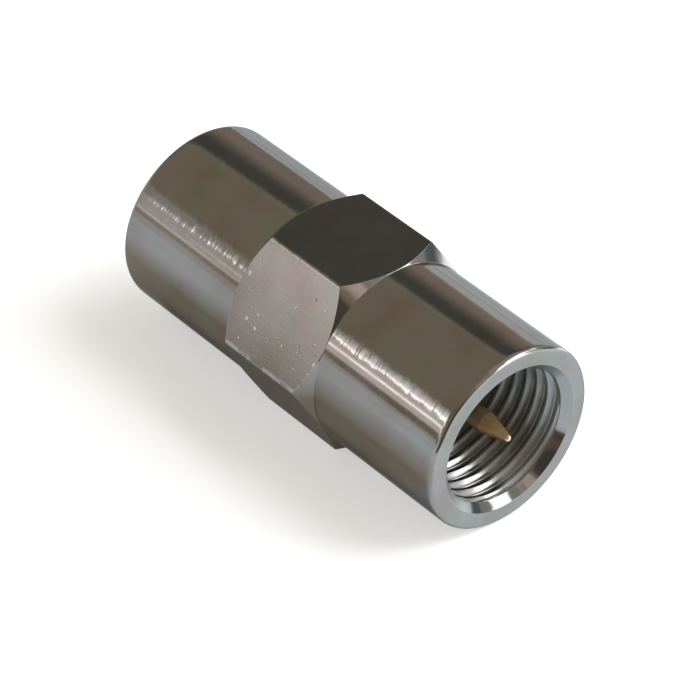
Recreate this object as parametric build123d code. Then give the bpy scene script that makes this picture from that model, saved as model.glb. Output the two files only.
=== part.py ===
from build123d import *

import os
from math import cos, radians, sin, sqrt, tan

# Double-ended coaxial adapter with an internally threaded M8 x 0.75 socket at each end.
# Frame: origin on the axis at the middle of the length, X along the axis, Z up.
# Two of the hexagon's flats are level, so that the adapter lies on its lower flat.
# The two ends are the same.

# Body: one turning from hexagonal brass bar, all sizes in millimetres and degrees
overall_length = 23.2
barrel_d = 9.95
rim_round = 0.3            # rounding on the outside edge of each mouth
hex_across_flats = 10.0    # a touch over the barrels, which clean up round
hex_corner_length = 5.0    # full-height length of the hexagon's corners
chamfer_angle = 48.0       # turned cones on the hexagon's ends, measured from the axis

# Threaded socket in each end
thread_major_d = 8.0
thread_pitch = 0.75
mouth_clearance = 0.02         # radial, countersunk mouth over the thread's major diameter
countersink_angle = 45.0       # measured from the axis, down to the thread's core
thread_end_depth = 7.2         # from the mouth to the end of the thread
undercut_clearance = 0.08      # radial, groove behind the thread over its major diameter
undercut_angle = 45.0          # cone from the thread's core out to the groove
socket_depth = 8.1             # from the mouth to the seat of the mating connector

# Web between the sockets, bored for the insulators
insulator_d = 5.0
rib_length = 1.0               # inner shoulder that spaces the two insulators
rib_bore_d = 3.6
insulator_recess = 0.2         # insulator face behind the seat
insulator_edge = 0.15          # chamfer on the insulator's outer corner

# Contact: one turned pin, pointed at both ends
pin_d = 1.1
pin_point_angle = 14.0         # half-angle of the point
pin_tip_round = 0.19
pin_tip_recess = 0.02          # tip behind the mouth plane
stem_d = 1.5                   # stouter stem inside the insulators
stem_proud = 0.15              # stem's shoulder in front of the insulator face
collar_d = 2.6                 # collar trapped between the insulators
bore_clearance = 0.02          # radial, stem in the insulators

# Worked out from the sizes above
half_length = overall_length / 2
barrel_r = barrel_d / 2
hex_corner_r = hex_across_flats / sqrt(3)
chamfer_run = (hex_corner_r - barrel_r) / tan(radians(chamfer_angle))
thread_core_r = thread_major_d / 2 - 5 / 8 * thread_pitch * sqrt(3) / 2
mouth_r = thread_major_d / 2 + mouth_clearance
countersink_run = (mouth_r - thread_core_r) / tan(radians(countersink_angle))
undercut_r = thread_major_d / 2 + undercut_clearance
undercut_run = (undercut_r - thread_core_r) / tan(radians(undercut_angle))
seat_x = half_length - socket_depth
insulator_face_x = seat_x - insulator_recess


def turned(points):
    """Solid turned about the X axis from a closed outline of (x, radius) points."""
    outline = Polyline(*points, close=True)
    return revolve(make_face(outline), Axis.X)


def both_ends(shape):
    """The shape together with its mirror image at the other end."""
    return shape + mirror(shape, about=Plane.YZ)


def barrel():
    """Plain round bar from end to end, with its two outside edges rounded."""
    bar = turned([(-half_length, 0), (-half_length, barrel_r), (half_length, barrel_r), (half_length, 0)])
    rims = bar.edges().filter_by(GeomType.CIRCLE)
    return fillet(rims, rim_round)


def hexagon():
    """Hexagonal grip whose corners are turned down by a cone at each end.

    The cones run from the corners down to the barrels, so that each flat ends
    in an arc, and only the middle of a flat reaches the cone's foot.
    """
    corner_x = hex_corner_length / 2
    foot_x = corner_x + chamfer_run
    cones = turned([(-foot_x, 0), (-foot_x, barrel_r), (-corner_x, hex_corner_r),
                    (corner_x, hex_corner_r), (foot_x, barrel_r), (foot_x, 0)])
    section = Plane.YZ * RegularPolygon(hex_across_flats / 2, 6, major_radius=False)
    flats = extrude(section, foot_x, both=True)
    return cones & flats


def socket():
    """Hollow of the +X end: countersunk mouth, thread core, undercut and seat."""
    thread_end_x = half_length - thread_end_depth
    return turned([(half_length, 0),
                   (half_length, mouth_r),
                   (half_length - countersink_run, thread_core_r),
                   (thread_end_x, thread_core_r),
                   (thread_end_x - undercut_run, undercut_r),
                   (seat_x, undercut_r),
                   (seat_x, 0)])


def web_bore():
    """Stepped bore through the web, narrower at the rib between the insulators."""
    rib_x = rib_length / 2
    return turned([(-seat_x, 0), (-seat_x, insulator_d / 2), (-rib_x, insulator_d / 2),
                   (-rib_x, rib_bore_d / 2), (rib_x, rib_bore_d / 2), (rib_x, insulator_d / 2),
                   (seat_x, insulator_d / 2), (seat_x, 0)])


def body():
    """Nickel-plated body with both sockets and the web between them."""
    return barrel() + hexagon() - both_ends(socket()) - web_bore()


def insulator():
    """Insulating bush of the +X end, pressed into the web until it meets the rib."""
    inner_x = rib_length / 2
    bore_r = stem_d / 2 + bore_clearance
    outer_r = insulator_d / 2
    return turned([(inner_x, bore_r), (inner_x, outer_r),
                   (insulator_face_x - insulator_edge, outer_r),
                   (insulator_face_x, outer_r - insulator_edge),
                   (insulator_face_x, bore_r)])


def contact():
    """Double-ended contact: a collar, two stems and two pointed pins with round tips.

    The round tip is tangent to the point's cone, so the cone ends where the
    tip's radius stands square to it.
    """
    pin_r = pin_d / 2
    shoulder_x = insulator_face_x + stem_proud
    tip_x = half_length - pin_tip_recess
    tip_centre_x = tip_x - pin_tip_round
    slope = radians(pin_point_angle)
    tangent = (tip_centre_x + pin_tip_round * sin(slope), pin_tip_round * cos(slope))
    point_start_x = tangent[0] - (pin_r - tangent[1]) / tan(slope)
    halfway = radians((90 - pin_point_angle) / 2)
    on_tip = (tip_centre_x + pin_tip_round * cos(halfway), pin_tip_round * sin(halfway))
    outline = Polyline((0, 0), (0, collar_d / 2), (rib_length / 2, collar_d / 2),
                       (rib_length / 2, stem_d / 2), (shoulder_x, stem_d / 2),
                       (shoulder_x, pin_r), (point_start_x, pin_r), tangent)
    outline += ThreePointArc(tangent, on_tip, (tip_x, 0))
    outline += Line((tip_x, 0), (0, 0))
    return both_ends(revolve(make_face(outline), Axis.X))


os.makedirs("parts", exist_ok=True)
front_insulator = insulator()
export_step(body(), "parts/body.step")
export_step(contact(), "parts/centre_contact.step")
export_step(front_insulator, "parts/front_insulator.step")
export_step(mirror(front_insulator, about=Plane.YZ), "parts/rear_insulator.step")
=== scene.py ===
from math import atan2, cos, degrees, hypot, pi, radians, sin, sqrt, tan

import bpy
import numpy as np
from mathutils import Matrix, Vector


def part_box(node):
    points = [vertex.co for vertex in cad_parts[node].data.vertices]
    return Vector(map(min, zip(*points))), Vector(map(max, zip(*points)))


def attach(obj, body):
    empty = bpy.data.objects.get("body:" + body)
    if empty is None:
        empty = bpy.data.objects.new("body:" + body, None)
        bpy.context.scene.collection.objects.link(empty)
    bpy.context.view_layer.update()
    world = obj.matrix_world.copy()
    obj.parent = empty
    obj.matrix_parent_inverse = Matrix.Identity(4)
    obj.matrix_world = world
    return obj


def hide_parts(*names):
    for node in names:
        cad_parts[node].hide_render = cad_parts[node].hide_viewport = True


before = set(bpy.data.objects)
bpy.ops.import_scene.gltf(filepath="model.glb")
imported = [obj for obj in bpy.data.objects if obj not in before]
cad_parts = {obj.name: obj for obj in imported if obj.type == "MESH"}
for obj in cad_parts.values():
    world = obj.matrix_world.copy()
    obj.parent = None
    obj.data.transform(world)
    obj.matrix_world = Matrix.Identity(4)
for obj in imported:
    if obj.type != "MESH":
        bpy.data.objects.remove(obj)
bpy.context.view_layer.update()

# Body of the adapter: one turning from hexagonal brass bar, nickel plated all over.
# The barrels are turned round, cones take down the hexagon's corners, and each end is
# bored, countersunk and tapped M8 x 0.75. Sizes are in millimetres, and X is the axis.
MM = 0.001
half_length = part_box("body")[1].x / MM
flat_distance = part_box("body")[1].z / MM
barrel_r = 4.975
rim_round = 0.3
corner_half_length = 2.5       # of the hexagon, along its corners
cone_slope = tan(radians(48))
corner_round = 0.12            # between two flats, worn by handling
cone_edge_round = 0.05         # between a flat and a cone
foot_round = 0.07              # left by the tool's nose between a cone and the barrel
mouth_r = 4.02                 # of the 45 degree countersink
mouth_soft = 0.02              # rounding of its two edges
thread_core_r = 3.594
thread_root_r = 3.99
thread_pitch = 0.75
thread_flank = tan(radians(60))    # rise of a flank, outwards along the axis
thread_crest = thread_pitch / 8    # half the width of a crest
thread_start = radians(-144)   # turns the whole thread, and with it the places where it begins and ends
thread_fade = (0.42, 0.58)     # depths between which its grooves grow to full height
thread_soft = 0.058            # rounding of its crests and roots
thread_end_depth = 7.2
undercut_r = 4.08
seat_depth = 8.1
web_bore_r = 2.5
rib_bore_r = 1.8
rib_half_length = 0.5
web_edge_round = 0.03
rounding_limit = 0.45          # a rounding's run, as a share of the shorter side beside it
finish_margin = 0.03           # behind the countersink, before the tapped finish begins
columns_per_flat = 28
columns_per_corner = 4
edge_column = 0.01             # share of a flat's width beside a corner, narrow to keep the flat flat
inner_column = 0.03
lip_x = half_length - 0.03
ring_x = half_length - 0.5     # even rows in front of it, so that the countersink's edge is clean
ring_rows = 20
groove_x = half_length - thread_end_depth - (undercut_r - thread_core_r)
sixth = radians(60)            # of a turn: from one corner of the hexagon to the next
corner_centre_r = (flat_distance - corner_round) / cos(sixth / 2)
corner_reach = atan2(corner_round * sin(sixth / 2), corner_centre_r + corner_round * cos(sixth / 2))


def column_angles():
    """Angles about X, from +Y towards +Z, with the hexagon's six rounded corners divided finely."""
    inner_shares = np.linspace(inner_column, 1 - inner_column, columns_per_flat - 3)
    shares = (0, edge_column, *inner_shares, 1 - edge_column)
    angles = []
    for corner in range(6):
        start = sixth * corner - corner_reach
        fine = 2 * corner_reach
        wide = sixth - fine
        angles += [start + fine * k / columns_per_corner for k in range(columns_per_corner)]
        angles += [start + fine + wide * share for share in shares]
    return angles


def hexagon_r(angle):
    """Distance from the axis to the hexagon's outline at an angle."""
    off_corner = abs((angle + sixth / 2) % sixth - sixth / 2)
    if off_corner >= corner_reach:
        return flat_distance / cos(sixth / 2 - off_corner)
    across = corner_centre_r * sin(off_corner)
    return corner_centre_r * cos(off_corner) + sqrt(corner_round ** 2 - across ** 2)


def cone_top_x(angle):
    """Where the cone meets the hexagon at an angle, so that each flat ends in an arc."""
    return corner_half_length + (flat_distance / cos(sixth / 2) - hexagon_r(angle)) / cone_slope


def rounded_path(corners, arc_steps):
    """Points (x, radius) through corners (x, radius, rounding, steps of the straight run after it)."""
    points = []
    run_steps = 1
    for i, (x, r, rounding, steps) in enumerate(corners):
        here = np.array([x, r])
        arc = [here]
        if rounding:
            before = np.array(corners[i - 1][:2]) - here
            after = np.array(corners[i + 1][:2]) - here
            shortest = min(np.linalg.norm(before), np.linalg.norm(after))
            before, after = before / np.linalg.norm(before), after / np.linalg.norm(after)
            half = np.arccos(before @ after) / 2
            run = min(rounding / tan(half), rounding_limit * shortest)
            bisector = (before + after) / np.linalg.norm(before + after)
            centre = here + bisector * run / cos(half)
            start, end = here + before * run - centre, here + after * run - centre
            turn = pi - 2 * half
            arc = [centre + (start * sin((1 - t) * turn) + end * sin(t * turn)) / sin(turn)
                   for t in np.linspace(0, 1, arc_steps + 1)]
        if points:
            points += [points[-1] + (arc[0] - points[-1]) * k / run_steps for k in range(1, run_steps)]
        points += arc
        run_steps = steps
    return [(float(x), float(r)) for x, r in points]


def outside_path(angle):
    """One column from just inside the rear mouth, over the outside, to just inside the front one."""
    top_r = hexagon_r(angle)
    top_x = cone_top_x(angle)
    foot_x = top_x + (top_r - barrel_r) / cone_slope
    half = rounded_path([(0, top_r, 0, 6),
                         (top_x, top_r, cone_edge_round, 3),
                         (foot_x, barrel_r, foot_round, 14),
                         (half_length, barrel_r, rim_round, 4),
                         (half_length, mouth_r, mouth_soft, 1),
                         (lip_x, mouth_r - (half_length - lip_x), 0, 1)], 6)
    return [(-x, r) for x, r in half[:0:-1]] + half


def web_path():
    """One column from the front undercut, through the web's stepped bore, to the rear undercut."""
    seat_x = half_length - seat_depth
    half = rounded_path([(groove_x, undercut_r, 0, 2),
                         (seat_x, undercut_r, web_edge_round, 3),
                         (seat_x, web_bore_r, web_edge_round, 6),
                         (rib_half_length, web_bore_r, web_edge_round, 3),
                         (rib_half_length, rib_bore_r, web_edge_round, 2),
                         (0, rib_bore_r, 0, 1)], 3)
    return half + [(-x, r) for x, r in half[-2::-1]]


def larger(a, b, soft):
    """The larger of two values, with a rounded change from one to the other."""
    return (a + b + hypot(a - b, 2 * soft)) / 2


def thread_r(x, angle):
    """Radius of the countersunk and tapped hole."""
    turns = x / thread_pitch - (angle + thread_start) / (2 * pi)
    off_crest = abs((turns + 0.5) % 1 - 0.5) * thread_pitch
    flank = thread_core_r + (off_crest - thread_crest) * thread_flank
    depth = half_length - abs(x)
    grown = min(max((depth - thread_fade[0]) / (thread_fade[1] - thread_fade[0]), 0), 1)
    root = thread_core_r + (thread_root_r - thread_core_r) * grown
    groove = larger(-larger(-flank, -root, thread_soft), thread_core_r, thread_soft * grown)
    countersink = mouth_r - depth
    run_out = thread_core_r + (depth - thread_end_depth)
    return larger(groove, max(countersink, run_out), mouth_soft)


# Rows across one pitch, from one crest to the next, closer at the edges of crest and root
pitch_rows = (0.0, 0.09, 0.125, 0.16, 0.26, 0.38, 0.43, 0.5, 0.57, 0.62, 0.74, 0.84, 0.875, 0.91)


def thread_path(angle, from_x, to_x):
    """One column of a right-hand thread, from from_x down to to_x, in rows that follow the helix."""
    first_turn = int(np.ceil(from_x / thread_pitch))
    last_turn = int(np.floor(to_x / thread_pitch)) - 1
    path = []
    for turn in range(first_turn, last_turn, -1):
        for part in pitch_rows:
            x = thread_pitch * (turn - part + (angle + thread_start) / (2 * pi))
            x = max(min(x, from_x), to_x)
            path.append((x, thread_r(x, angle) if abs(x) > groove_x else undercut_r))
    return path


def body_mesh():
    """Closed mesh of the body, column by column, with a finish number for each face."""
    angles = column_angles()
    points, columns = [], []
    for angle in angles:
        mouth_rows = [(x, thread_r(x, angle)) for x in np.linspace(lip_x, ring_x, ring_rows)[1:-1]]
        front = thread_path(angle, ring_x, groove_x)
        rear = thread_path(angle, -groove_x, -ring_x)
        rear_mouth_rows = [(-x, thread_r(-x, angle)) for x, r in mouth_rows[::-1]]
        outside = rear_mouth_rows + outside_path(angle) + mouth_rows
        web = web_path()
        column = []
        numbers = {}
        for x, r in outside + front + web + rear:
            key = (round(x, 5), round(r, 5))
            if key not in numbers:
                numbers[key] = len(points)
                points.append((x, r * cos(angle), r * sin(angle)))
            column.append(numbers[key])
        columns.append(column)
    # The helix's rows rise by one pitch in a turn, so the last column meets the first one's shifted rows
    closing = list(columns[0])
    rows = len(pitch_rows)
    for start, count in ((len(outside), len(front)), (len(outside) + len(front) + len(web), len(rear))):
        for k in range(count):
            closing[start + k] = columns[0][start + max(k - rows, 0)]
    faces, finishes = [], []
    for k, column in enumerate(columns):
        following = columns[k + 1] if k + 1 < len(columns) else closing
        for i in range(len(column)):
            j = (i + 1) % len(column)
            corners = list(dict.fromkeys((column[i], following[i], following[j], column[j])))
            if len(corners) > 2:
                faces.append(corners)
                middle = np.mean([points[c] for c in corners], axis=0)
                radius = hypot(middle[1], middle[2])
                angle = atan2(middle[2], middle[1])
                on_flat = radius > barrel_r and abs(middle[0]) < cone_top_x(angle)
                depth = half_length - abs(middle[0])
                in_socket = radius < undercut_r and depth > max(mouth_r - radius, 0) + finish_margin
                finishes.append(1 if on_flat else 2 if in_socket else 0)
    return points, faces, finishes


def new_piece(name, points, faces, finishes=None):
    """Mesh object in metres from points in millimetres, shaded by the face areas round each point."""
    mesh = bpy.data.meshes.new(name)
    mesh.from_pydata([tuple(c * MM for c in p) for p in points], [], faces)
    mesh.validate()
    normals = np.zeros((len(mesh.vertices), 3))
    for face in mesh.polygons:
        normals[list(face.vertices)] += np.array(face.normal) * face.area
        face.use_smooth = True
    normals /= np.linalg.norm(normals, axis=1)[:, None]
    mesh.normals_split_custom_set_from_vertices(normals.tolist())
    if finishes:
        mesh.polygons.foreach_set("material_index", finishes)
    piece = bpy.data.objects.new(name, mesh)
    bpy.context.scene.collection.objects.link(piece)
    return piece


class Signal:
    """A socket in a node tree. Arithmetic on it adds Math nodes, and node adds any other node."""

    def __init__(self, tree, socket=None):
        self.tree = tree
        self.socket = socket

    def node(self, kind, settings, sockets, output=0):
        """Adds a node: its settings first, then its sockets' values or links. Returns one output."""
        made = self.tree.nodes.new(kind)
        for name, value in settings.items():
            setattr(made, name, value)
        for place, value in sockets.items():
            if isinstance(value, Signal):
                self.tree.links.new(value.socket, made.inputs[place])
            else:
                made.inputs[place].default_value = value
        return Signal(self.tree, made.outputs[output] if made.outputs else None)

    def math(self, operation, first, second=0.0):
        return self.node("ShaderNodeMath", {"operation": operation}, {0: first, 1: second})

    def __add__(self, other):
        return self.math("ADD", self, other)

    def __radd__(self, other):
        return self.math("ADD", other, self)

    def __sub__(self, other):
        return self.math("SUBTRACT", self, other)

    def __rsub__(self, other):
        return self.math("SUBTRACT", other, self)

    def __mul__(self, other):
        return self.math("MULTIPLY", self, other)

    def __rmul__(self, other):
        return self.math("MULTIPLY", other, self)

    def __pow__(self, other):
        return self.math("POWER", self, other)


def split(vector):
    """The x, y and z of a vector."""
    return [vector.node("ShaderNodeSeparateXYZ", {}, {0: vector}, axis) for axis in range(3)]


def joined(x, y, z):
    """A vector of three values, the first of them a signal."""
    return x.node("ShaderNodeCombineXYZ", {}, {0: x, 1: y, 2: z})


def ramp(value, start, end):
    """0 before start and 1 after end, with a smooth change between them."""
    return value.node("ShaderNodeMapRange", {"interpolation_type": "SMOOTHSTEP"},
                      {"Value": value, "From Min": start, "From Max": end})


def between(value, start, end, edge):
    """1 between start and end, with soft edges, and 0 elsewhere."""
    return ramp(value, start - edge, start + edge) * ramp(value, end + edge, end - edge)


def grain(vector, scale, detail=2.0):
    """Noise around 0.5."""
    return vector.node("ShaderNodeTexNoise", {}, {"Vector": vector, "Scale": scale, "Detail": detail})


def blend(amount, plain, other):
    """One colour turning into another as amount goes from 0 to 1."""
    return amount.node("ShaderNodeMix", {"data_type": "RGBA"}, {0: amount, 6: plain, 7: other}, 2)


def new_finish(name):
    """A material, and the place on the surface in millimetres as a signal in its empty tree."""
    finish = bpy.data.materials.new(name)
    finish.use_nodes = True
    finish.node_tree.nodes.clear()
    start = Signal(finish.node_tree)
    metres = start.node("ShaderNodeTexCoord", {}, {}, "Object")
    return finish, start.node("ShaderNodeVectorMath", {"operation": "SCALE"},
                              {0: metres, "Scale": 1 / MM})


def use_metal(place, colour, roughness, height, tint, metallic=1.0):
    """Ends a tree in a metal shader, whose relief height is in millimetres."""
    normal = place.node("ShaderNodeBump", {}, {"Height": height, "Distance": MM})
    shader = place.node("ShaderNodeBsdfPrincipled", {},
                        {"Base Color": colour, "Roughness": roughness, "Metallic": metallic,
                         "Specular Tint": tint, "Normal": normal})
    place.node("ShaderNodeOutputMaterial", {}, {"Surface": shader})


nickel = (0.42, 0.405, 0.385, 1)
nickel_stained = (0.375, 0.34, 0.305, 1)
nickel_edge = (0.62, 0.62, 0.62, 1)     # the plating's tint at a grazing angle
nickel_in_cone = (0.345, 0.34, 0.325, 1)
# painted highlight: a pale colour on the lower part of the countersinks' burr side
painted_countersink_highlight = (0.72, 0.73, 0.72, 1)
# pale colour of the -Y flats' edges and specks: partly wear, partly painted highlight and glint
nickel_wear_and_glint = (0.62, 0.63, 0.63, 1)
nickel_pitted = (0.2, 0.18, 0.15, 1)
rubbed_side = (-53.5, -44.0)            # strip along the barrels, in degrees from +Z towards +Y


def plating(place):
    """The plating's colour: faint brown stains, and a drift between a reddish and a greenish cast."""
    colour = blend(ramp(grain(place, 0.35, 4.0), 0.35, 0.75), nickel, nickel_stained)
    cast = blend(ramp(grain(place, 0.55, 3.0), 0.35, 0.65), (1.03, 0.98, 1.0, 1), (0.975, 1.015, 0.975, 1))
    return place.node("ShaderNodeMix", {"data_type": "RGBA", "blend_type": "MULTIPLY"},
                      {0: 1.0, 6: colour, 7: cast}, 2)


def turned_nickel():
    """Barrels, cones and rims: plated over fine rings, and rubbed along one side. The countersinks
    are a little darker, and have a burr on the side that the tool left last, which is rougher;
    the lower part of that side is paler, a painted highlight."""
    finish, place = new_finish("turned_nickel")
    x, y, z = split(place)
    radius = (y * y + z * z) ** 0.5
    ring = x + radius
    side = y.math("ARCTAN2", y, z) * degrees(1)
    rubbed = between(side, *rubbed_side, 1.5)
    marks = grain(joined(ring * 5.5, y * 0.5, z * 0.5), 1.0, 2.0)
    patches = grain(joined(ring * 1.6, y * 0.9, z * 0.9), 1.0, 1.0)
    roughness = 0.05 + 0.04 * ramp(grain(place, 1.7, 5.0), 0.3, 0.7) + 0.03 * marks
    height = (0.007 * (marks - 0.5) + 0.016 * (patches - 0.5)) * (0.14 + 0.86 * rubbed)
    countersunk = ramp(radius, mouth_r + 0.03, mouth_r - 0.02)
    burr_and_highlight = countersunk * ramp(0.73 * z - 0.68 * y, -1.1, -0.2)
    colour = blend(countersunk, plating(place), nickel_in_cone)
    # Painted highlight: the lower part of the burr side turns pale
    colour = blend(burr_and_highlight * ramp(z, 0.5, -1.5), colour, painted_countersink_highlight)
    use_metal(place, colour, roughness + 0.3 * burr_and_highlight, height, nickel_edge)
    return finish


def drawn_nickel():
    """The six flats: the drawn skin of the bar, plated. Those on the -Y side have been knocked about:
    they have specks with a painted glint, darker pits, and pale edges at their corners and where the
    cones begin, partly wear and partly painted highlight."""
    finish, place = new_finish("drawn_nickel")
    x, y, z = split(place)
    skin = grain(place, 9.0, 4.0)
    streaks = grain(joined(x * 0.25, y * 6.0, z * 6.0), 1.0, 3.0)
    left = ramp(y, -2.7, -2.87)
    radius = (y * y + z * z) ** 0.5
    corner = ramp(radius, 5.64, 5.73)
    end = ramp(x.math("ABSOLUTE", x) + radius * (1 / cone_slope), 7.64, 7.7)
    knocked_strip = between(0.5 * y + 0.866 * z + 0.25 * x, -2.2, 0.0, 0.5) * left
    knocks = grain(place, 2.9, 0.5)
    specks = ramp(knocks + 0.03 * knocked_strip, 0.745, 0.8) * left
    pits = ramp(knocks - 0.05 * knocked_strip, 0.22, 0.15) * left
    wear_and_edge_highlight = corner.math("MAXIMUM", corner, end) * left * ramp(grain(place, 2.2, 2.0), 0.3, 0.6)
    colour = blend(pits * 0.5, plating(place), nickel_pitted)
    # Painted glints and highlight: the specks, and at half strength the worn edges, turn pale
    colour = blend(wear_and_edge_highlight.math("MAXIMUM", wear_and_edge_highlight * 0.5, specks), colour, nickel_wear_and_glint)
    roughness = 0.05 + 0.04 * skin + 0.1 * pits + 0.22 * wear_and_edge_highlight + 0.2 * specks
    height = 0.0005 * skin + 0.0003 * streaks + 0.004 * specks - 0.008 * pits
    use_metal(place, colour, roughness, height, nickel_edge)
    return finish


def tapped_nickel():
    """Threads, undercut and web: dull from tapping, paler near the mouth as painted light, and
    polished on the side where the mating thread rubs."""
    finish, place = new_finish("tapped_nickel")
    x, y, z = split(place)
    depth = half_length - x.math("ABSOLUTE", x)
    polished = ramp(-0.6 * y - z, 2.9, 3.6) * ramp(depth, 5.2, 3.8)
    marks = grain(joined(x * 5.0, y * 0.9, z * 0.9), 1.0, 4.0)
    dull = blend(ramp(marks, 0.35, 0.65), (0.27, 0.28, 0.26, 1), (0.42, 0.43, 0.405, 1))
    # Painted light: paler near the mouth, where the light comes into the bore
    dull = blend(ramp(depth, 1.9, 0.9), dull, (0.52, 0.54, 0.53, 1))
    colour = blend(polished, dull, nickel)
    roughness = 0.34 + 0.12 * grain(place, 2.5, 4.0) - 0.2 * polished
    use_metal(place, colour, roughness, 0.006 * marks, nickel_edge, 0.7 + 0.3 * polished)
    return finish


body = new_piece("adapter_body", *body_mesh())
for finish in (turned_nickel(), drawn_nickel(), tapped_nickel()):
    body.data.materials.append(finish)
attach(body, "root")
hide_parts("body")

# Centre contact: one turned brass pin, pointed at both ends and gold plated. Its collar is
# held between the two insulators, and a stouter stem runs through each of them.
pin_r = 0.55
stem_r = 0.75
collar_r = 1.3
stem_end_x = 3.45
tip_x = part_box("centre_contact")[1].x / MM
tip_round = 0.19
point_slope = radians(14)      # half-angle of the point
point_start_x = 10.0           # about where the point begins
collar_round = 0.03
stem_round = 0.02
shoulder_round = 0.04
gold_painted_shade = (0.5, 0.33, 0.19, 1)
gold_painted_highlight = (0.97, 0.8, 0.75, 1)
turned_columns = 96


def turned_mesh(path, columns):
    """Closed mesh turned about X from points (x, radius); a radius of 0 makes a single point."""
    points, rings, faces = [], [], []
    for x, r in path:
        count = columns if r > 0 else 1
        rings.append(range(len(points), len(points) + count))
        for k in range(count):
            angle = 2 * pi * k / columns
            points.append((x, r * cos(angle), r * sin(angle)))
    for a, b in zip(rings, rings[1:] + rings[:1]):
        for k in range(columns):
            n = (k + 1) % columns
            corners = (a[k % len(a)], a[n % len(a)], b[n % len(b)], b[k % len(b)])
            corners = list(dict.fromkeys(corners))
            if len(corners) > 2:
                faces.append(corners)
    return points, faces


def contact_path():
    """Outline from the rear tip to the front tip."""
    centre_x = tip_x - tip_round
    cone_end = (centre_x + tip_round * sin(point_slope), tip_round * cos(point_slope))
    point_x = cone_end[0] - (pin_r - cone_end[1]) / tan(point_slope)
    tip = [(centre_x + tip_round * sin(a), tip_round * cos(a))
           for a in np.linspace(point_slope, pi / 2, 9)[1:-1]]
    half = rounded_path([(0, collar_r, 0, 2),
                         (rib_half_length, collar_r, collar_round, 1),
                         (rib_half_length, stem_r, stem_round, 6),
                         (stem_end_x, stem_r, shoulder_round, 1),
                         (stem_end_x, pin_r, shoulder_round, 12),
                         (point_x, pin_r, shoulder_round, 8),
                         (*cone_end, 0, 1)], 4) + tip + [(tip_x, 0)]
    return [(-x, r) for x, r in half[:0:-1]] + half


def gold_plate():
    """Gold over turned brass: polished, with faint rings, a browner painted shade behind the point,
    and a pale painted highlight at the tip.
    """
    finish, place = new_finish("gold_plate")
    x, y, z = split(place)
    ring = x + (y * y + z * z) ** 0.5
    marks = grain(joined(ring * 12.0, y * 0.8, z * 0.8), 1.0, 3.0)
    colour = blend(ramp(grain(place, 1.1, 3.0), 0.35, 0.7), (0.9, 0.6, 0.31, 1), (0.78, 0.49, 0.23, 1))
    from_middle = x.math("ABSOLUTE", x)
    # Painted shade: darker and browner behind the point, deep in the bore
    colour = blend(ramp(from_middle, point_start_x, point_start_x - 0.08), colour, gold_painted_shade)
    # Painted highlight: a pale spot at the tip
    colour = blend(ramp(from_middle, tip_x - 0.07, tip_x - 0.02), colour, gold_painted_highlight)
    roughness = 0.16 + 0.1 * grain(place, 5.0, 4.0)
    use_metal(place, colour, roughness, 0.0008 * marks, (0.9, 0.9, 0.9, 1), 0.9)
    return finish


contact = new_piece("contact_pin", *turned_mesh(contact_path(), turned_columns))
contact.data.materials.append(gold_plate())
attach(contact, "root")
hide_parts("centre_contact")

# Insulators: two alike bushes of white fluoropolymer, turned from rod and pressed into the
# web from either end, so that they trap the contact's collar against each other.
bush_r = 2.495                 # a hair inside the web's bore
bush_bore_r = stem_r + 0.02
bush_edge = 0.15               # chamfer on the outer corner
bush_edge_round = 0.05
bush_bore_round = 0.03
bush_last_step = 0.05          # keeps the shading of the bore's inner end narrow


def bush_path(front):
    """Closed outline of a bush, in front of the web's rib or behind it."""
    node = "front_insulator" if front else "rear_insulator"
    face_x = max(abs(corner.x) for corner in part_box(node)) / MM
    path = rounded_path([(rib_half_length, bush_bore_r, 0, 1),
                         (rib_half_length, bush_r, 0, 3),
                         (face_x - bush_edge, bush_r, bush_edge_round, 1),
                         (face_x, web_bore_r - bush_edge, bush_edge_round, 6),
                         (face_x, bush_bore_r, bush_bore_round, 3),
                         (rib_half_length + bush_last_step, bush_bore_r, 0, 1)], 3)
    return path if front else [(-x, r) for x, r in path[::-1]]


def white_fluoropolymer():
    """Waxy white plastic with the rings of its facing cut."""
    finish, place = new_finish("white_fluoropolymer")
    x, y, z = split(place)
    radius = (y * y + z * z) ** 0.5
    rings = grain(joined(radius * 7.0, x * 7.0, y * 0.2), 1.0, 3.0)
    colour = blend(ramp(grain(place, 0.9, 4.0), 0.3, 0.7), (0.84, 0.83, 0.79, 1), (0.76, 0.74, 0.69, 1))
    normal = place.node("ShaderNodeBump", {}, {"Height": 0.004 * rings, "Distance": MM})
    shader = place.node("ShaderNodeBsdfPrincipled", {},
                        {"Base Color": colour, "Roughness": 0.42 + 0.12 * rings, "Normal": normal,
                         "Subsurface Weight": 0.2, "Subsurface Scale": 0.6 * MM})
    place.node("ShaderNodeOutputMaterial", {}, {"Surface": shader})
    return finish


fluoropolymer = white_fluoropolymer()
for front, name, node in ((True, "front_bush", "front_insulator"), (False, "rear_bush", "rear_insulator")):
    bush = new_piece(name, *turned_mesh(bush_path(front), turned_columns))
    bush.data.materials.append(fluoropolymer)
    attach(bush, "root")
    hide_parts(node)

# Floor: a large sheet of white paper under the lower flat. Seen directly it is white and keeps
# the soft shadow of the lamp above. In the metal it is a dimmer, bluish white, with painted light
# and painted shade on it by place, and a painted shadow under the part.
floor_half_width = 1.0         # metres
floor_z = -flat_distance * MM
floor_mesh = bpy.data.meshes.new("floor")
floor_corners = [(sx * floor_half_width, sy * floor_half_width, floor_z)
                 for sx, sy in ((-1, -1), (1, -1), (1, 1), (-1, 1))]
floor_mesh.from_pydata(floor_corners, [], [(0, 1, 2, 3)])
floor = bpy.data.objects.new("floor", floor_mesh)
bpy.context.scene.collection.objects.link(floor)


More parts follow.
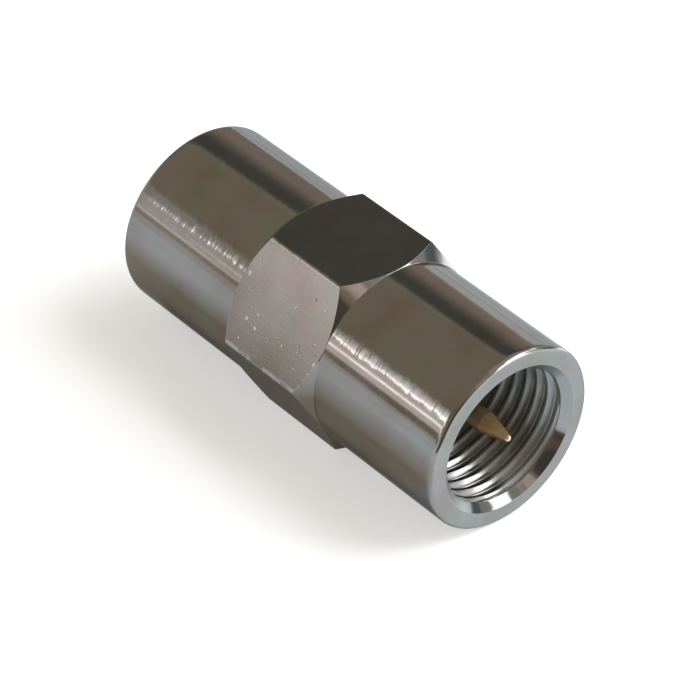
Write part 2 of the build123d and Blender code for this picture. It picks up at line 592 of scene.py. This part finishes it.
def white_paper():
    """Paper that the camera sees white, and that glows by place where the metal shows it: painted
    light and painted shade in the metal's reflections.
    """
    finish, place = new_finish("white_paper")
    x, y, z = split(place)
    camera, glossy, passed = [place.node("ShaderNodeLightPath", {}, {}, kind) for kind in
                              ("Is Camera Ray", "Is Glossy Ray", "Is Transmission Ray")]
    distance = (x * x + y * y) ** 0.5
    heading = y.math("ARCTAN2", y, x) * degrees(1)
    # Painted shadow: under the part the glow that the metal shows is halved
    painted_shadow_under_part = between(y, -4.7, 4.7, 0.8) * ramp(x.math("ABSOLUTE", x), 12.0, 10.5)
    # Painted light and shade that only the metal shows: the paper glows more behind, in front, at the
    # right and far off, less in a dim patch, and strongly in a bright strip
    behind = 0.15 * ramp(y, -9.0, -6.0)
    in_front = (0.19 - 0.05 * ramp(x, -8.0, -14.0)) * ramp(distance, 12.0, 34.0) * ramp(y, 8.0, -8.0)
    at_right = 0.2 * ramp(x + 2 * y, -8.0, 12.0) * ramp(x, -14.0, 4.0)
    far_off = 0.12 * ramp(distance, 40.0, 120.0) + 0.07 * ramp(y, 20.0, 40.0)
    dim_patch = 0.07 * between(x, 17.0, 23.0, 2.0) * between(y, 3.0, 11.0, 3.0)
    bright_strip = 1.3 * between(heading, 79.0, 93.0, 1.5) * ramp(y, 25.0, 40.0)
    painted_glow_in_metal = 0.03 + behind + in_front + at_right + far_off - dim_patch + bright_strip
    painted_glow_in_metal = painted_glow_in_metal * glossy * (1 - 0.5 * painted_shadow_under_part)
    direct = (0.5 + 0.5 * ramp(distance, 60.0, 160.0)) * camera.math("MAXIMUM", camera, passed)
    # Painted shade in the metal: close to the body it shows the paper yellower, and beyond the mouth
    # a dark brown painted shade on it
    close = ramp(y, -16.0, -8.0) * ramp(y, 3.0, -1.0) * ramp(x, 9.0, 7.0)
    shaded = glossy * ramp(x, 28.0, 34.0) * between(heading, -52.0, -10.0, 4.0)
    tint = blend(close, (0.88, 1.04, 1.18, 1), (0.98, 0.97, 0.87, 1))
    tint = blend(camera, tint, (1, 1, 1, 1))
    tint = blend(shaded, tint, (0.25, 0.17, 0.14, 1))
    paper = blend(close, (0.48, 0.52, 0.56, 1), (0.52, 0.51, 0.475, 1))
    paper = blend(glossy, (0.74, 0.74, 0.74, 1), paper)
    paper = blend(shaded, paper, (0.08, 0.055, 0.045, 1))
    diffuse = place.node("ShaderNodeBsdfDiffuse", {}, {"Color": paper})
    glow = place.node("ShaderNodeEmission", {}, {"Color": tint, "Strength": direct + painted_glow_in_metal})
    both = place.node("ShaderNodeAddShader", {}, {0: diffuse, 1: glow})
    place.node("ShaderNodeOutputMaterial", {}, {"Surface": both})
    return finish


floor_mesh.materials.append(white_paper())

# Light: one large soft lamp overhead for the plain level and the shadow, and around the part
# a dim room with a window to the left and one low at the right, which the metal shows.
lamp_width = 0.22              # metres
lamp_watts = 0.95
lamp_place = (0.12, 0.16, 0.22)
lamp_data = bpy.data.lights.new("soft_lamp", "AREA")
lamp_data.size = lamp_width
lamp_data.energy = lamp_watts
lamp = bpy.data.objects.new("soft_lamp", lamp_data)
lamp.location = lamp_place
lamp.rotation_euler = Vector(lamp.location).to_track_quat("Z", "Y").to_euler()
lamp.visible_glossy = False
bpy.context.scene.collection.objects.link(lamp)


wall = (0.38, 0.30, 0.27, 1)
ceiling = (0.286, 0.25, 0.188, 1)
beam = (0.105, 0.103, 0.092, 1)
horizon = (0.79, 0.83, 0.83, 1)


def rear_layers(azimuth, elevation):
    """What is behind the part: a pale horizon, a wall, a dark beam and the ceiling over it."""
    tilted = elevation + 6.0 * ramp(azimuth, 124.5, 128.5)
    far_wall = blend(ramp(azimuth, 126.0, 130.0), (0.45, 0.4, 0.36, 1), (0.38, 0.35, 0.325, 1))
    frame_line = between(tilted, 12.8, 15.0, 0.8) * ramp(azimuth, 127.0, 129.0)
    pale_line = between(elevation, 45.8, 46.8, 0.5) * ramp(azimuth, 100.0, 120.0)
    return [(ramp(tilted, 19.0, 13.0), far_wall),
            (ramp(tilted, 13.9, 9.7), horizon),
            (frame_line, (0.28, 0.27, 0.25, 1)),
            (ramp(elevation, 18.0, 38.0), beam),
            (ramp(elevation, 43.2, 45.5), ceiling),
            (pale_line, (0.31, 0.305, 0.275, 1))]


def left_layers(azimuth, elevation):
    """In front at the left: a bright window with two brighter bars, and a brown gap under its sill."""
    front_left = between(azimuth, -175.0, -85.0, 8.0)
    window = between(azimuth, -160.0, -98.0, 2.0)
    near_side = ramp(azimuth + 0.2 * elevation, -127.6, -124.6)
    gap = front_left * ramp(elevation + 2.6 * near_side, 2.4, 4.8) * ramp(elevation, 8.1, 6.9)
    haze = window * near_side * ramp(elevation, 30.5, 21.5) * ramp(elevation, 18.0, 20.0)
    panel = window * between(elevation, 7.7, 22.0, 0.7)
    shelf = panel * between(elevation, 8.3, 9.9, 0.4)
    upper_bar = window * near_side * between(elevation, 20.3, 22.4, 0.7)
    lower_bar = window * near_side * between(elevation, 12.7, 14.7, 0.7)
    return [(front_left * ramp(elevation, 26.0, 29.0), ceiling),
            (front_left * ramp(elevation, 6.5, 5.0), (0.6, 0.585, 0.56, 1)),
            (gap, blend(near_side, (0.42, 0.36, 0.32, 1), (0.275, 0.235, 0.195, 1))),
            (window * between(elevation, 22.5, 29.0, 1.0), (0.41, 0.385, 0.37, 1)),
            (haze, (1.5, 1.48, 1.53, 1)),
            (panel, blend(near_side, (0.62, 0.59, 0.59, 1), (0.86, 0.8, 0.815, 1))),
            (shelf, (0.98, 0.9, 0.9, 1)),
            (upper_bar, (3.2, 3.1, 3.05, 1)),
            (lower_bar, (2.4, 2.3, 2.25, 1))]


def right_layers(azimuth, elevation):
    """In front at the right, seen in the mouth: a cabinet, ledges, a doorway and a low window."""
    front_right = between(azimuth, -70.0, 100.0, 8.0)
    cabinet = between(azimuth, -48.0, -13.0, 1.5) * ramp(elevation, 33.5, 31.0)
    shade = between(azimuth, -9.0, 6.0, 2.0) * between(elevation, 32.5, 42.0, 1.0)
    ledge = between(azimuth, 6.0, 16.0, 2.0) * between(elevation, 37.5, 44.0, 1.0)
    doorway = between(azimuth, 60.0, 80.0, 3.0) * between(elevation, 3.0, 12.0, 1.5)
    sill = between(azimuth, 44.0, 58.0, 3.0) * ramp(elevation, 21.0, 18.0)
    upper_pane = between(azimuth, 31.0, 61.0, 2.0) * between(elevation, 24.0, 41.0, 1.5)
    lower_pane = between(azimuth, 22.0, 44.0, 2.0) * ramp(elevation, 26.0, 23.0)
    backdrop = between(azimuth, 79.0, 93.0, 1.5) * ramp(elevation, 2.5, 1.0)
    lantern = between(azimuth, 66.0, 76.0, 1.5) * between(elevation, 24.0, 31.0, 1.5)
    right_wall = blend(ramp(azimuth, -5.0, 25.0), (0.34, 0.27, 0.21, 1), (0.42, 0.45, 0.43, 1))
    doors = blend(ramp(azimuth, -35.0, -32.0), (0.22, 0.155, 0.135, 1), (0.115, 0.095, 0.08, 1))
    return [(front_right * ramp(elevation, 0.0, 2.0), right_wall),
            (cabinet, doors),
            (shade, (0.8, 0.66, 0.6, 1)),
            (ledge, (0.75, 0.6, 0.56, 1)),
            (doorway, (0.18, 0.22, 0.24, 1)),
            (sill, (1.0, 1.03, 1.05, 1)),
            (upper_pane, (3.0, 3.05, 3.15, 1)),
            (lower_pane, (3.8, 3.85, 3.95, 1)),
            (backdrop, (1.4, 1.4, 1.4, 1)),
            (lantern, (3.0, 3.0, 3.1, 1))]


def room_light():
    """The surroundings by direction: angles in degrees, azimuth from +X towards +Y. Each layer is
    painted over the ones before it, and the camera itself sees plain white."""
    world = bpy.data.worlds.new("room")
    bpy.context.scene.world = world
    world.use_nodes = True
    world.node_tree.nodes.clear()
    start = Signal(world.node_tree)
    x, y, z = split(start.node("ShaderNodeTexCoord", {}, {}, "Generated"))
    elevation = z.math("ARCSINE", z) * degrees(1)
    azimuth = y.math("ARCTAN2", y, x) * degrees(1)
    colour = wall
    for layers in (rear_layers, left_layers, right_layers):
        for where, paint in layers(azimuth, elevation):
            colour = blend(where, colour, paint)
    camera = start.node("ShaderNodeLightPath", {}, {}, "Is Camera Ray")
    colour = blend(camera, colour, (1, 1, 1, 1))
    background = start.node("ShaderNodeBackground", {}, {"Color": colour, "Strength": 1.0})
    start.node("ShaderNodeOutputWorld", {}, {"Surface": background})


room_light()
bpy.context.scene.view_settings.view_transform = "Standard"

# Camera: a long lens above the front mouth and to one side, turned a little about its own axis.
# The aim is the point of the part, in millimetres, that the middle of the picture looks at.
camera_azimuth = radians(48.248)
camera_elevation = radians(38.241)
camera_roll = radians(1.846)
camera_distance = 173.736
focal_length_pixels = 3560.31
picture_width = 700
sensor_width = 36.0
aim_right = 0.040
aim_up = -1.386

level = Vector((cos(camera_azimuth), sin(camera_azimuth), 0))
back = Vector((sin(camera_azimuth) * cos(camera_elevation),
               -cos(camera_azimuth) * cos(camera_elevation), sin(camera_elevation)))
upright = back.cross(level)
right = cos(camera_roll) * level + sin(camera_roll) * upright
up = cos(camera_roll) * upright - sin(camera_roll) * level
camera_data = bpy.data.cameras.new("camera")
camera_data.sensor_width = sensor_width
camera_data.lens = focal_length_pixels * sensor_width / picture_width
camera_data.clip_start = 0.01
camera = bpy.data.objects.new("camera", camera_data)
stand = Matrix((right, up, back)).transposed().to_4x4()
stand.translation = (aim_right * right + aim_up * up + camera_distance * back) * MM
camera.matrix_world = stand
bpy.context.scene.collection.objects.link(camera)
bpy.context.scene.camera = camera
